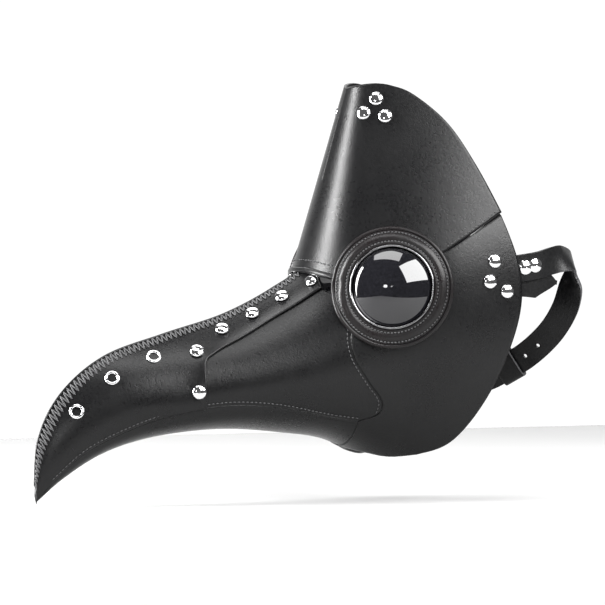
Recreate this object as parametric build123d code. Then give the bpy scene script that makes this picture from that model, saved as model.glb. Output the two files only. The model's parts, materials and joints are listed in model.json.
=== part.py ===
from build123d import *
import os
import numpy as np

# Millimetres. The mask faces -Y, +Z is up and +X is the wearer's left.
# The origin is midway between the two eye centres, where the mask seats on the face.

LEATHER = 2.0  # thickness of the shell panels
STRAP_LEATHER = 1.8  # thickness of the straps
STRAP_WIDTH = 18.0

# Beak and cheeks: cross-sections between a top point and a bottom point of the side view.
# Each row is top Y, top Z, bottom Y, bottom Z, half width, ridge sharpness.
BODY_STATIONS = [
    (-232.0, -134.0, -230.5, -139.0, 1.6, 0.5),
    (-229.0, -98.0, -213.0, -125.0, 7.5, 0.5),
    (-213.0, -68.5, -188.0, -110.0, 13.5, 0.5),
    (-183.0, -45.0, -160.0, -100.5, 20.0, 0.5),
    (-141.0, -31.0, -128.0, -95.5, 27.0, 0.5),
    (-98.0, -18.5, -95.0, -94.0, 35.0, 0.45),
    (-62.0, -1.5, -58.0, -97.0, 43.0, 0.35),
    (-36.0, 17.0, -22.0, -103.0, 50.0, 0.2),
    (-8.0, 60.0, 14.0, -121.0, 57.0, 0.1),
    (28.0, 95.0, 50.0, -134.0, 69.0, 0.0),
    (64.0, 114.0, 84.0, -138.0, 73.0, 0.0),
    (100.0, 122.0, 120.0, -140.0, 73.0, 0.0),
]
BODY_SLICES = 14  # cross-sections through the loft
BODY_POINTS = 9  # points down each side of a cross-section

# Forehead: each level is a nose arc, a long side arc and a rear arc, all tangent.
FOREHEAD_LEVELS = [-12.0, 20.0, 55.0, 90.0, 120.0, 150.0]
FRONT_Y = -45.4  # front of the forehead at eye level
FRONT_LEAN = 0.29  # how far the front moves back for each millimetre up
NOSE_RADIUS = 52.0  # at eye level
NOSE_TAPER = 0.25  # how much the nose radius falls for each millimetre up
NOSE_TURN, SIDE_TURN, REAR_TURN = 60.0, 24.0, 26.0  # degrees of each arc
SIDE_RADIUS, REAR_RADIUS = 260.0, 90.0

# Side-view outlines, as Y and Z.
REAR_EDGE = [(-12, 130), (8, 134), (27, 127), (46, 108), (61, 81), (74, 48), (84, 18), (86.5, -6)]
REAR_EDGE += [(81, -34), (66, -73), (47, -103), (28, -112)]
FOREHEAD_HEM = [(-60, 13), (-41, 12), (-34, 7), (32, 21), (75, 49)]
STRIP_EDGE = [(-37.5, -1), (-53, -11), (-72, -21.5), (-92, -32.5), (-113, -43), (-121.5, -52), (-122, -80)]
LOWER_SEAM = [(-222, -127), (-200, -107), (-170, -92), (-140, -82), (-106, -77), (-72, -79), (-36, -86), (-16, -89)]
REAR_SEAM = [(-16, -89), (-4, -84), (-4, -75), (-14, -63), (-24, -48), (-27, -34), (-24, -22)]
NECK_CENTRE_Y, NECK_HALF_WIDTH, NECK_HALF_LENGTH = 42.0, 38.0, 56.0

# Eyes
EYE_X, EYE_TURN, EYE_TILT = 55.5, 64.0, 6.0  # centre, and its normal's angles from straight ahead and up
LENS_RADIUS, LENS_HEIGHT = 24.6, 9.0
BEZEL_RADIUS = 28.5
FLANGE_RADIUS, FLANGE_TOP = 38.2, 3.0
PIPING_RADIUS, PIPING_TOP = 40.6, 3.6

# Fasteners
CAP_RADIUS, CAP_HEIGHT, SHANK_RADIUS = 4.8, 2.2, 1.6
WASHER_RADIUS, WASHER_THICKNESS = 3.6, 0.8
EYELET_RADIUS, EYELET_HOLE = 5.0, 3.0
BEAK_RIVETS = [(-40.5, 3.5), (-60, -7), (-81, -18), (-103, -28), (-124, -42), (-127, -68)]
BEAK_EYELETS = [(-152, -45), (-181.5, -58.5), (-206, -80)]
FOREHEAD_RIVETS = [(4.5, 124), (-3.5, 114.5), (8.5, 112.5)]
TEMPLE_RIVETS = [(67.5, 17), (63.5, 3.5), (75.5, -3)]

# Back strap: centre X Y Z and the direction of its upper edge. It is straight through each loop.
BACK_STRAP = [
    (68.6, 57, 11, 0, 0, 1),
    (68.6, 76, 11, 0, 0, 1),
    (69.9, 90, 12.5, 0, 0, 1),
    (69.9, 100, 14, 0, 0, 1),
    (67, 111, 16.5, -0.05, 0, 1),
    (63, 122, 18, -0.5, 0.2, 0.8),
    (57, 131, 16, -0.85, 0.38, 0.35),
    (50, 135.5, 8, -0.9, 0.1, 0),
    (44, 136.5, -3, -0.87, -0.49, 0),
    (37, 136, -16, -0.72, -0.7, 0),
    (28, 132.5, -29, -0.5, -0.75, 0.3),
    (17, 127.5, -40, -0.33, -0.7, 0.6),
    (4, 121, -50, -0.25, -0.5, 0.8),
    (-8, 115, -56.5, -0.25, -0.5, 0.8),
    (-20, 109, -63, -0.25, -0.5, 0.8),
    (-32, 103.5, -67, -0.1, -0.3, 0.95),
    (-44, 98, -71, -0.1, -0.3, 0.95),
    (-56, 92.5, -75, -0.1, -0.3, 0.95),
    (-68, 87, -79, -0.1, -0.3, 0.95),
]
LEFT_LOOP_ROW, RIGHT_LOOP_ROW = 13, 16
TEMPLE_TAB = [
    (66.6, 60, 5.3, 0, 0, 1),
    (66.6, 76, 5.3, 0, 0, 1),
    (67.6, 90, 5, 0, 0, 1),
    (67.6, 100, 4, 0, 0, 1),
    (64.5, 116, 2, 0, 0, 1),
]
TAB_WIDTH = 24.0
BAND_RIVETS = [(90, 12.7), (97, 14)]
HEAD_GAP, BORE_GAP = 0.25, 0.05
STRAP_HOLES = [0.62, 0.66, 0.915, 0.94]  # places along the back strap
HOLE_RADIUS = 1.4
LOOP_LENGTH, LOOP_GAP, LOOP_TAB = 17.0, 0.4, 10.0
RIBBON_SLICES = 3  # sections between two rows of a strap
TIP_SHARE = 0.2  # width left at a pointed tip

# Buckle strap at the right temple, lying in one upright plane
BUCKLE_X, BUCKLE_START, BUCKLE_SLOPE = -68.6, (57.0, 15.5), 32.0  # degrees down towards the rear
BUCKLE_LENGTH, FOLD_LENGTH = 70.0, 16.0  # to the bar, and of the strap end folded back
BAR_RADIUS, PIN_GAP = 1.3, 0.1
FRAME_LENGTH, FRAME_WIDTH, FRAME_CORNER = 22.0, 24.0, 3.5
PRONG_RADIUS, PRONG_HALF_WIDTH = 1.1, 2.2
KEEPER_WIDTH, KEEPER_PLACE = 8.0, 45.5

SPAN = 400.0  # larger than the mask
INNER_START = 0.06  # the beak is solid leather ahead of this
NECK_TOP = -80.0
TUCKED_HEM = [(-41, 60), (-41, 22), (-34, 17), (-10, 13), (32, 21), (75, 49)]
TEMPLE_GRIP = 7.0
EYE_DEPTH, EYE_STANDOFF = 14.0, 11.0
BEZEL_DEPTH, BEZEL_TOP = 3.5, 5.5
RETAINER_RADIUS = 33.0
TOP_STRAP_X = 24.0  # how far each top strap hangs from the middle
TOP_STRAP_LOW = {1: (14, 88, -2), -1: (-26, 84, -8)}  # its lowest free point on each side
TAB_SHIFT = 2.2  # the loop's tab lies outward of the top strap
BUCKLE_END = 5.0  # strap ahead of the first temple rivet
SLOT_REACH = 6.5


def smooth(rows, share):
    """A point share (0 to 1) of the way along the Catmull-Rom curve through the rows."""
    rows = np.array(rows, float)
    place = min(max(share, 0.0), 1.0) * (len(rows) - 1)
    i = min(int(place), len(rows) - 2)
    f = place - i
    a, b, c, d = rows[max(i - 1, 0)], rows[i], rows[i + 1], rows[min(i + 2, len(rows) - 1)]
    return b + 0.5 * f * (c - a + f * (2 * a - 5 * b + 4 * c - d + f * (3 * (b - c) + d - a)))


def body_section(share, inset):
    """Points down the +X side of one cross-section, moved inward by inset."""
    top_y, top_z, low_y, low_z, half_width, ridge = smooth(BODY_STATIONS, share)
    q = np.linspace(0, 1, BODY_POINTS)
    down = (1 - ridge) * np.cos(np.pi * q) + ridge * (1 - 4 * q + 2 * q**2)
    top, low = np.array([0, top_y, top_z]), np.array([0, low_y, low_z])
    half_height = np.linalg.norm(top - low) / 2
    along = (top - low) / (2 * half_height)
    across = half_width * np.sin(np.pi * q)
    shrink = 1 - inset / half_width, 1 - inset / half_height
    points = [(top + low) / 2 + along * h * half_height * shrink[1] for h in down]
    return [Vector(x * shrink[0], p[1], p[2]) for x, p in zip(across, points)]


def body_volume(inset, first=0.0):
    """The closed volume of beak and cheeks, inset from the outer surface."""
    wires = []
    for share in np.linspace(first, 1, BODY_SLICES):
        side = body_section(share, inset)
        other = [Vector(-p.X, p.Y, p.Z) for p in side]
        wires.append(Wire([Spline(*side), Spline(*reversed(other))]))
    return Solid.make_loft(wires)


def forehead_arcs(z, inset):
    """Tangent arcs of one level from the front centre round the +X side to the rear."""
    front = FRONT_Y + FRONT_LEAN * z + inset
    arcs = []
    start, direction = Vector(0, front, z), Vector(1, 0, 0)
    turns = (NOSE_RADIUS - NOSE_TAPER * z, NOSE_TURN), (SIDE_RADIUS, SIDE_TURN), (REAR_RADIUS, REAR_TURN)
    for radius, turn in turns:
        arc = JernArc(start, direction, radius - inset, turn)
        arcs.append(arc)
        start, direction = arc @ 1, arc % 1
    return arcs


def forehead_wires(inset):
    wires = []
    for z in FOREHEAD_LEVELS:
        side = forehead_arcs(z, inset)
        other = [arc.mirror(Plane.YZ) for arc in side]
        close = Line(side[-1] @ 1, other[-1] @ 1)
        wires.append(Wire([*side, *other, close]))
    return wires


def forehead_volume(inset):
    return Solid.make_loft(forehead_wires(inset))


def curve(points):
    return Spline(*[Vector(0, y, z) for y, z in points])


def chain(points):
    return Polyline(*[Vector(0, y, z) for y, z in points])


def prism(*edges):
    """Extrude a closed side-view outline right across the mask."""
    face = Face(Wire([edge for part in edges for edge in part.edges()]))
    return Solid.extrude(face.moved(Pos(-SPAN, 0, 0)), Vector(2 * SPAN, 0, 0))


def mirrored(shape):
    return shape.mirror(Plane.YZ)


def frame_at(point, normal, up=(0, 0, 1)):
    """A plane whose Z points out of the surface and whose X is level."""
    normal = Vector(*normal)
    return Plane(origin=point, x_dir=Vector(*up).cross(normal), z_dir=normal)


def surface_frame(volume, y, z):
    """The plane on the +X side of the mask where side-view point (y, z) lies on the surface."""
    hits = volume.find_intersection_points(Axis((0, y, z), (1, 0, 0)))
    point, normal = max(hits, key=lambda hit: hit[0].X)
    return frame_at(point, normal)


def turned(profile):
    """A solid of revolution about Z from radius and height points."""
    return revolve(make_face(Polyline(*profile, close=True)), Axis.Z)


def ring_profile(inner, outer, low, high):
    points = [(inner, low), (outer, low), (outer, high), (inner, high)]
    return turned([(r, 0, z) for r, z in points])


def dome_arc(radius, low, high):
    """The right half of a round dome, from its edge up to its top on the axis."""
    rise = high - low
    sphere = (radius**2 + rise**2) / (2 * rise)
    middle = np.arcsin(radius / sphere) / 2
    halfway = (sphere * np.sin(middle), 0, high - sphere * (1 - np.cos(middle)))
    return ThreePointArc((radius, 0, low), halfway, (0, 0, high))


def rivet(grip):
    """Domed cap, shank through the leather and a washer behind it."""
    edge = 0.5
    dome = dome_arc(CAP_RADIUS, edge, CAP_HEIGHT)
    foot = -grip - WASHER_THICKNESS
    corners = [(0, CAP_HEIGHT), (0, foot), (WASHER_RADIUS, foot), (WASHER_RADIUS, -grip)]
    corners += [(SHANK_RADIUS, -grip), (SHANK_RADIUS, 0), (CAP_RADIUS, 0), (CAP_RADIUS, edge)]
    sides = Polyline(*[(r, 0, z) for r, z in corners])
    return revolve(make_face([*sides.edges(), dome.edge()]), Axis.Z)


def eyelet():
    """Rolled metal ring with a barrel through the leather."""
    barrel = ring_profile(EYELET_HOLE, EYELET_HOLE + 0.5, -LEATHER - 1.0, 0.2)
    lip = Torus((EYELET_RADIUS + EYELET_HOLE) / 2, (EYELET_RADIUS - EYELET_HOLE) / 2)
    lip = lip & Pos(0, 0, 2.0) * Box(3 * EYELET_RADIUS, 3 * EYELET_RADIUS, 4.0)
    return (barrel + lip).solid()


def eye_frame():
    turn, tilt = np.radians(EYE_TURN), np.radians(EYE_TILT)
    normal = (np.sin(turn) * np.cos(tilt), -np.cos(turn) * np.cos(tilt), np.sin(tilt))
    return frame_at((EYE_X, 0, 0), normal)


def lens():
    """A domed lens with a short cylindrical edge."""
    base = 1.0
    rise = dome_arc(LENS_RADIUS, base + 1.5, LENS_HEIGHT)
    sides = Polyline((0, 0, LENS_HEIGHT), (0, 0, base), (LENS_RADIUS, 0, base), (LENS_RADIUS, 0, base + 1.5))
    return revolve(make_face([*sides.edges(), rise.edge()]), Axis.Z)


def ribbon(rows, width=STRAP_WIDTH, pointed=False):
    """A flat strap through rows of centre X Y Z and the direction of its upper edge."""
    count = RIBBON_SLICES * (len(rows) - 1) + 1
    samples = [smooth(rows, share) for share in np.linspace(0, 1, count)]
    centres = [Vector(*sample[:3]) for sample in samples]
    sections = []
    for i, sample in enumerate(samples):
        along = (centres[min(i + 1, count - 1)] - centres[max(i - 1, 0)]).normalized()
        upper = Vector(*sample[3:])
        upper = (upper - along * upper.dot(along)).normalized()
        plane = Plane(origin=centres[i], x_dir=upper, z_dir=along)
        to_end = (count - 1 - i) / RIBBON_SLICES
        here = width * max(to_end, TIP_SHARE) if pointed and to_end < 1 else width
        sections.append((plane * Rectangle(here, STRAP_LEATHER)).face().outer_wire())
    return Solid.make_loft(sections, ruled=True)


def strap_plane(rows, index):
    """Plane across a straight run: X up its width, Y out of its face, Z along it."""
    along = (Vector(*rows[index + 1][:3]) - Vector(*rows[index - 1][:3])).normalized()
    upper = Vector(*rows[index][3:])
    upper = (upper - along * upper.dot(along)).normalized()
    return Plane(origin=Vector(*rows[index][:3]), x_dir=upper, z_dir=along)


def sleeve(length, wall=STRAP_LEATHER, gap=LOOP_GAP):
    """A flat leather tube round a strap, centred on the strap and running along Z."""
    inner = Rectangle(STRAP_WIDTH + 2 * gap, STRAP_LEATHER + 2 * gap)
    outer = Rectangle(STRAP_WIDTH + 2 * (gap + wall), STRAP_LEATHER + 2 * (gap + wall))
    return Pos(0, 0, -length / 2) * extrude(outer - inner, length)


def save(name, shape):
    """Write one node, as a single solid or a group of separate solids."""
    solids = shape.solids()
    export_step(solids[0] if len(solids) == 1 else Compound(children=list(solids)), f"parts/{name}.step")
    print(name, len(solids), round(sum(solid.volume for solid in solids)))


def largest(shape):
    """The biggest solid, without crumbs left by a cut."""
    return max(shape.solids(), key=lambda solid: solid.volume)


def cut_by(shape, tools):
    """The shape with every tool that reaches it cut away in one step."""
    box = shape.bounding_box()
    near = [tool for tool in tools if tool.bounding_box().overlaps(box)]
    return shape.cut(*near) if near else shape


# Shell volumes and the side-view regions of its panels
body = body_volume(0)
body_inside = body_volume(LEATHER, INNER_START)
forehead = forehead_volume(0)
forehead_inside = forehead_volume(LEATHER)

neck = extrude(Pos(0, NECK_CENTRE_Y, -SPAN) * Ellipse(NECK_HALF_WIDTH, NECK_HALF_LENGTH), SPAN + NECK_TOP)
rim_region = prism(curve(REAR_EDGE), chain([REAR_EDGE[-1], (0, -118), (-300, -250), (-300, 130), REAR_EDGE[0]]))
above_hem = prism(chain([*FOREHEAD_HEM, (200, 49), (200, 200), (-60, 200), FOREHEAD_HEM[0]]))
below_hem = prism(chain([*TUCKED_HEM, (200, 49), (200, -SPAN), (-300, -SPAN), (-300, 60), TUCKED_HEM[0]]))
above_seam = prism(
    curve(LOWER_SEAM),
    curve(REAR_SEAM),
    chain([REAR_SEAM[-1], (-24, 60), (-260, 60), (-260, -146), LOWER_SEAM[0]]),
)
ahead_of_strip = prism(
    curve(STRIP_EDGE), chain([STRIP_EDGE[-1], (-122, -110), (-280, -180), (-280, 60), STRIP_EDGE[0]])
)

# Fasteners, placed on the +X side and mirrored
def placed(shape, volume, spots):
    """A copy of the shape on the surface at each side-view spot."""
    return [surface_frame(volume, y, z).location * shape for y, z in spots]


beak_rivets = placed(rivet(LEATHER), body, BEAK_RIVETS)
beak_eyelets = placed(eyelet(), body, BEAK_EYELETS)
forehead_rivets = placed(rivet(LEATHER + STRAP_LEATHER + 1.0), forehead, FOREHEAD_RIVETS)
temple_rivets = placed(rivet(TEMPLE_GRIP), body, TEMPLE_RIVETS)
side_fasteners = {
    "beak_rivets": beak_rivets,
    "beak_eyelets": beak_eyelets,
    "forehead_rivets": forehead_rivets,
    "temple_rivets": temple_rivets,
}
eyelet_bores = placed(Cylinder(EYELET_HOLE + 0.1, 4 * LEATHER), body, BEAK_EYELETS)
fastener_tools = [tool for group in side_fasteners.values() for tool in group] + eyelet_bores
FASTENER_COUNT = len(fastener_tools)
fastener_tools += [mirrored(tool) for tool in fastener_tools]

# Eye assemblies
eye = eye_frame().location
shell_volumes = [body, forehead]
eye_opening = eye * Cylinder(BEZEL_RADIUS, 2 * EYE_DEPTH)
eye_openings = [eye_opening, mirrored(eye_opening)]

left_half = Pos(SPAN / 2, 0, 0) * Box(SPAN, 2 * SPAN, 2 * SPAN)

forehead_panel = (forehead - forehead_inside) & rim_region & above_hem
forehead_panel = cut_by(forehead_panel, eye_openings + fastener_tools)
lower_shell = ((body - body_inside) & left_half) & rim_region
lower_shell = (lower_shell & below_hem) - neck
upper_beak = lower_shell & above_seam
side_panels = {
    "beak_front_panel": upper_beak & ahead_of_strip,
    "beak_side_panel": upper_beak - ahead_of_strip,
    "cheek_panel": lower_shell - above_seam,
}
for name, panel in side_panels.items():
    side_panels[name] = cut_by(panel, [forehead_panel, eye_opening] + fastener_tools[:FASTENER_COUNT])

flange = ring_profile(BEZEL_RADIUS, FLANGE_RADIUS, -EYE_STANDOFF, FLANGE_TOP)
piping = ring_profile(FLANGE_RADIUS, PIPING_RADIUS, -EYE_STANDOFF, PIPING_TOP)
bezel = ring_profile(LENS_RADIUS, BEZEL_RADIUS, -BEZEL_DEPTH, BEZEL_TOP)
retainer = ring_profile(LENS_RADIUS, RETAINER_RADIUS, -BEZEL_DEPTH - 2.0, -BEZEL_DEPTH)
eye_pieces = {
    "eye_flange": cut_by(eye * flange, shell_volumes),
    "eye_piping": cut_by(eye * piping, shell_volumes),
    "lens_bezel": eye * bezel,
    "lens": eye * lens(),
    "lens_retainer": largest(cut_by(eye * retainer & body_inside & forehead_inside, [forehead_panel])),
}

# Back strap with its holes, band rivets and loops
back_strap = ribbon(BACK_STRAP, pointed=True)
strap_holes = []
for place in STRAP_HOLES:
    x, y, z = smooth(BACK_STRAP, place)[:3]
    ahead = Vector(*smooth(BACK_STRAP, place + 0.01)[:3]) - Vector(x, y, z)
    upper = Vector(*smooth(BACK_STRAP, place)[3:])
    across = ahead.cross(upper)
    strap_holes.append(frame_at((x, y, z), across, upper).location * Cylinder(HOLE_RADIUS, 12))
temple_tab = ribbon(TEMPLE_TAB, TAB_WIDTH, True)
band_frames = [surface_frame(back_strap, y, z).location * Pos(0, 0, HEAD_GAP) for y, z in BAND_RIVETS]
band_rivets = [frame * rivet(2 * STRAP_LEATHER + 0.4 + 2 * HEAD_GAP) for frame in band_frames]
band_bores = [frame * Cylinder(SHANK_RADIUS + BORE_GAP, 8 * STRAP_LEATHER) for frame in band_frames]
left_cheek = side_panels["cheek_panel"]
back_strap = largest(cut_by(back_strap, strap_holes + temple_rivets + band_bores + [left_cheek]))
temple_tab = largest(cut_by(temple_tab, [*temple_rivets, *band_rivets, *band_bores, back_strap, left_cheek]))


def top_strap(side, loop):
    """Strap, its sleeve round the back strap and the rivet that closes the sleeve."""
    root = surface_frame(forehead, *FOREHEAD_RIVETS[2])
    inside = root.origin - root.z_dir * (LEATHER + STRAP_LEATHER / 2 + 0.5)
    down = root.y_dir * -1 + root.x_dir * 0.5
    if side < 0:
        inside, down, normal = [Vector(-v.X, v.Y, v.Z) for v in (inside, down, root.z_dir)]
    else:
        normal = root.z_dir
    along = down.normalized()
    upper = along.cross(normal)
    lift = STRAP_WIDTH / 2 + LOOP_GAP + STRAP_LEATHER
    back = loop.x_dir
    rows = [inside - along * 18, inside, inside + along * 20]
    rows += [Vector(side * TOP_STRAP_X, 52, 45), Vector(*TOP_STRAP_LOW[side])]
    rows += [loop.origin + back * (lift + LOOP_TAB + 14), loop.origin + back * (lift + 5), loop.origin + back * (lift + 1)]
    sides = [upper] * 3 + [Vector(0.2 * side, 0.9, 0.4)] + [loop.z_dir * -1] * 4
    shift = loop.y_dir * TAB_SHIFT
    rows = [row - shift if i > 3 else row for i, row in enumerate(rows)]
    strap = ribbon([(*row, *edge) for row, edge in zip(rows, sides)])
    tab = Pos(lift + LOOP_TAB / 2, TAB_SHIFT, 0) * Box(LOOP_TAB, STRAP_LEATHER, LOOP_LENGTH)
    sleeved = loop.location * (sleeve(LOOP_LENGTH) + tab)
    spot = loop.location * Pos(lift + LOOP_TAB / 2, TAB_SHIFT + STRAP_LEATHER / 2, 0) * Rot(-90, 0, 0)
    pin = spot * rivet(2 * STRAP_LEATHER + 0.4)
    return strap, sleeved, pin


left_strap, left_loop, left_pin = top_strap(1, strap_plane(BACK_STRAP, LEFT_LOOP_ROW))
right_strap, right_loop, right_pin = top_strap(-1, strap_plane(BACK_STRAP, RIGHT_LOOP_ROW))
right_forehead_rivets = [mirrored(shape) for shape in forehead_rivets]
left_strap = largest(cut_by(left_strap, [*forehead_rivets, left_pin, forehead_panel]))
right_strap = largest(cut_by(right_strap, [*right_forehead_rivets, right_pin, forehead_panel]))

# Buckle at the right temple: its plane has X along the strap, Y up the width, Z outward
slope = np.radians(BUCKLE_SLOPE)
buckle_start = Plane(
    origin=(BUCKLE_X, *BUCKLE_START), x_dir=(0, np.cos(slope), -np.sin(slope)), z_dir=(-1, 0, 0)
)
bar = BAR_RADIUS + PIN_GAP
fold_radius = bar + STRAP_LEATHER
bar_depth = STRAP_LEATHER / 2 - fold_radius  # the bar lies this far outward of the strap's middle
buckle = buckle_start.location * Pos(BUCKLE_LENGTH, 0, bar_depth)


def buckle_strap():
    """Strap from the temple, folded inward round the bar, with a slot for the prong."""
    run = Pos((BUCKLE_END - BUCKLE_LENGTH) / 2, 0, -bar_depth) * Box(BUCKLE_LENGTH + BUCKLE_END, STRAP_WIDTH, STRAP_LEATHER)
    back = Pos(-FOLD_LENGTH / 2, 0, STRAP_LEATHER / 2 - fold_radius) * Box(FOLD_LENGTH, STRAP_WIDTH, STRAP_LEATHER)
    wrap = Rot(90, 0, 0) * (Cylinder(fold_radius, STRAP_WIDTH) - Cylinder(bar, STRAP_WIDTH))
    wrap = wrap & Pos(fold_radius, 0, 0) * Box(2 * fold_radius, STRAP_WIDTH, 2 * fold_radius)
    slot = Box(2 * SLOT_REACH, 2 * PRONG_HALF_WIDTH + 2.0, 4 * fold_radius)
    return buckle * ((run + back + wrap) - slot)


def buckle_frame():
    """Round wire bent to a rectangle; one long side is the bar."""
    path = Pos(FRAME_LENGTH / 2, 0, 0) * RectangleRounded(FRAME_LENGTH, FRAME_WIDTH, FRAME_CORNER)
    wire = path.face().outer_wire()
    section = Plane(origin=wire @ 0, z_dir=wire % 0) * Circle(BAR_RADIUS)
    return buckle * sweep(section, path=wire)


def buckle_prong():
    """Eye round the bar and a straight pin resting on the far side of the frame."""
    ring = Rot(90, 0, 0) * (Cylinder(bar + 1.2, 2 * PRONG_HALF_WIDTH) - Cylinder(bar, 2 * PRONG_HALF_WIDTH))
    rest = BAR_RADIUS + 0.3 + PRONG_RADIUS
    start, end = Vector(bar + 0.6, 0, 1.4), Vector(FRAME_LENGTH + 2.5, 0, rest + 0.2)
    pin = Plane(origin=start, z_dir=end - start).location * Pos(0, 0, (end - start).length / 2)
    return buckle * (ring + pin * Cylinder(PRONG_RADIUS, (end - start).length))


right_temple_rivets = [mirrored(shape) for shape in temple_rivets]
fold_pin = buckle * Pos(-FOLD_LENGTH + 5, 0, -bar_depth + STRAP_LEATHER / 2) * rivet(2 * fold_radius)
strap_at_buckle = largest(cut_by(buckle_strap(), [*right_temple_rivets, fold_pin, mirrored(left_cheek)]))
keeper_middle = (buckle_start.location * Pos(KEEPER_PLACE, 0, 0)).position
keeper_plane = Plane(origin=keeper_middle, x_dir=buckle_start.y_dir * -1, z_dir=buckle_start.x_dir)
keeper = keeper_plane.location * sleeve(KEEPER_WIDTH)

os.makedirs("parts", exist_ok=True)
save("forehead_panel", forehead_panel)
for name, piece in {**side_panels, **eye_pieces}.items():
    save(f"left_{name}", piece)
    save(f"right_{name}", mirrored(piece))
for name, group in side_fasteners.items():
    save(f"left_{name}", Compound(children=group))
    save(f"right_{name}", Compound(children=[mirrored(shape) for shape in group]))
save("back_strap", back_strap)
save("left_temple_tab", temple_tab)
save("band_rivets", Compound(children=band_rivets))
save("left_top_strap", left_strap)
save("right_top_strap", right_strap)
save("left_top_strap_loop", cut_by(left_loop, [left_pin]))
save("right_top_strap_loop", cut_by(right_loop, [right_pin]))
save("top_loop_rivets", Compound(children=[left_pin, right_pin]))
save("buckle_strap", strap_at_buckle)
save("buckle_fold_rivet", fold_pin)
save("buckle_frame", buckle_frame())
save("buckle_prong", buckle_prong())
save("buckle_keeper", keeper)
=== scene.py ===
import json
import bpy
import numpy as np
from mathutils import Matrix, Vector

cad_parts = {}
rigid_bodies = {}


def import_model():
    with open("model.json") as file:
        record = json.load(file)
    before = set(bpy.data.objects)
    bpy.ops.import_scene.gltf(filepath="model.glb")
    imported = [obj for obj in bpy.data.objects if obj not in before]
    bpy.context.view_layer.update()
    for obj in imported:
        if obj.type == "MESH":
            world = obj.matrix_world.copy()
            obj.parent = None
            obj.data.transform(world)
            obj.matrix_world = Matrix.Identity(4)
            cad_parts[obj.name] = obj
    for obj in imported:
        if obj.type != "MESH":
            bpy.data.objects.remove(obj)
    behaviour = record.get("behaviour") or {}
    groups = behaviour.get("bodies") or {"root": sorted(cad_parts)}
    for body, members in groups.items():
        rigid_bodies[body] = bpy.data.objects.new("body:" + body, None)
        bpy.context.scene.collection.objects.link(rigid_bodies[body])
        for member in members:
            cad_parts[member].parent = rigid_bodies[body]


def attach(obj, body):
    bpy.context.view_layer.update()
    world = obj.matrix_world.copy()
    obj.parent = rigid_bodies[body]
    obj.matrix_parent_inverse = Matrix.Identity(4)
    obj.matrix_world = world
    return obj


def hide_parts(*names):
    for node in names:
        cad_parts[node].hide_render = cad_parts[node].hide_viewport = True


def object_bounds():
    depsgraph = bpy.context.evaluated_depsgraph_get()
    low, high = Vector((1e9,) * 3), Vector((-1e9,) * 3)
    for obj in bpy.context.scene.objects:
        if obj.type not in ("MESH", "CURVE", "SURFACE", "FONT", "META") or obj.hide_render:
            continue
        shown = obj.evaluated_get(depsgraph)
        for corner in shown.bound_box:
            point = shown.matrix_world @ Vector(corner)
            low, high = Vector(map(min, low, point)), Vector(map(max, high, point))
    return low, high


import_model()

cad_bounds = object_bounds()

MM = 0.001
LEATHER = 2.0

# Beak and cheeks: top Y, top Z, bottom Y, bottom Z, half width and ridge sharpness, in millimetres.
BODY_STATIONS = np.array([
    (-232.0, -134.0, -230.5, -139.0, 1.6, 0.5),
    (-229.0, -98.0, -213.0, -125.0, 7.5, 0.5),
    (-213.0, -68.5, -188.0, -110.0, 13.5, 0.5),
    (-183.0, -45.0, -160.0, -100.5, 20.0, 0.5),
    (-141.0, -31.0, -128.0, -95.5, 27.0, 0.5),
    (-98.0, -18.5, -95.0, -94.0, 35.0, 0.45),
    (-62.0, -1.5, -58.0, -97.0, 43.0, 0.35),
    (-36.0, 17.0, -22.0, -103.0, 50.0, 0.2),
    (-8.0, 60.0, 14.0, -121.0, 57.0, 0.1),
    (28.0, 95.0, 50.0, -134.0, 69.0, 0.0),
    (64.0, 114.0, 84.0, -138.0, 73.0, 0.0),
    (100.0, 122.0, 120.0, -140.0, 73.0, 0.0),
])
FRONT_Y, FRONT_LEAN = -45.4, 0.29
NOSE_RADIUS, NOSE_TAPER = 52.0, 0.25
NOSE_TURN, SIDE_TURN = np.radians([60.0, 24.0])
SIDE_RADIUS, REAR_RADIUS = 260.0, 90.0

STRIP_EDGE = [(-37.5, -1), (-53, -11), (-72, -21.5), (-92, -32.5), (-113, -43), (-121.5, -52), (-122, -80)]
LOWER_SEAM = [(-222, -127), (-200, -107), (-170, -92), (-140, -82), (-106, -77), (-72, -79)]
LOWER_SEAM += [(-36, -86), (-16, -89)]
REAR_SEAM = [(-16, -89), (-4, -84), (-4, -75), (-14, -63), (-24, -48), (-27, -34), (-24, -22)]
JAW_RIM = [(28, -112), (12, -113.5), (-4, -110), (-17, -106.5)]
TEMPLE_SEAM = [(20, 15), (32, 21), (54, 35), (75, 49)]

EYE_CENTRE = np.array([55.5, 0.0, 0.0])
EYE_TURN, EYE_TILT = np.radians([64.0, 6.0])
BEAK_RIVETS = [(-40.5, 3.5), (-60, -7), (-81, -18), (-103, -28), (-124, -42), (-127, -68)]
BEAK_EYELETS = [(-152, -45), (-181.5, -58.5), (-206, -80)]
FOREHEAD_RIVETS = [(4.5, 124), (-3.5, 114.5), (8.5, 112.5)]
TEMPLE_RIVETS = [(67.5, 17), (63.5, 3.5), (75.5, -3)]


# ---- Curves and surfaces ----

def smooth(rows, share):
    """Catmull-Rom curve through the rows, at every share from 0 to 1."""
    rows = np.asarray(rows, float)
    place = np.clip(share, 0, 1) * (len(rows) - 1)
    i = np.minimum(place.astype(int), len(rows) - 2)
    f = (place - i)[..., None]
    a, b, c, d = rows[np.maximum(i - 1, 0)], rows[i], rows[i + 1], rows[np.minimum(i + 2, len(rows) - 1)]
    return b + 0.5 * f * (c - a + f * (2 * a - 5 * b + 4 * c - d + f * (3 * (b - c) + d - a)))


def unit(vectors):
    return vectors / np.maximum(np.linalg.norm(vectors, axis=-1, keepdims=True), 1e-9)


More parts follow.
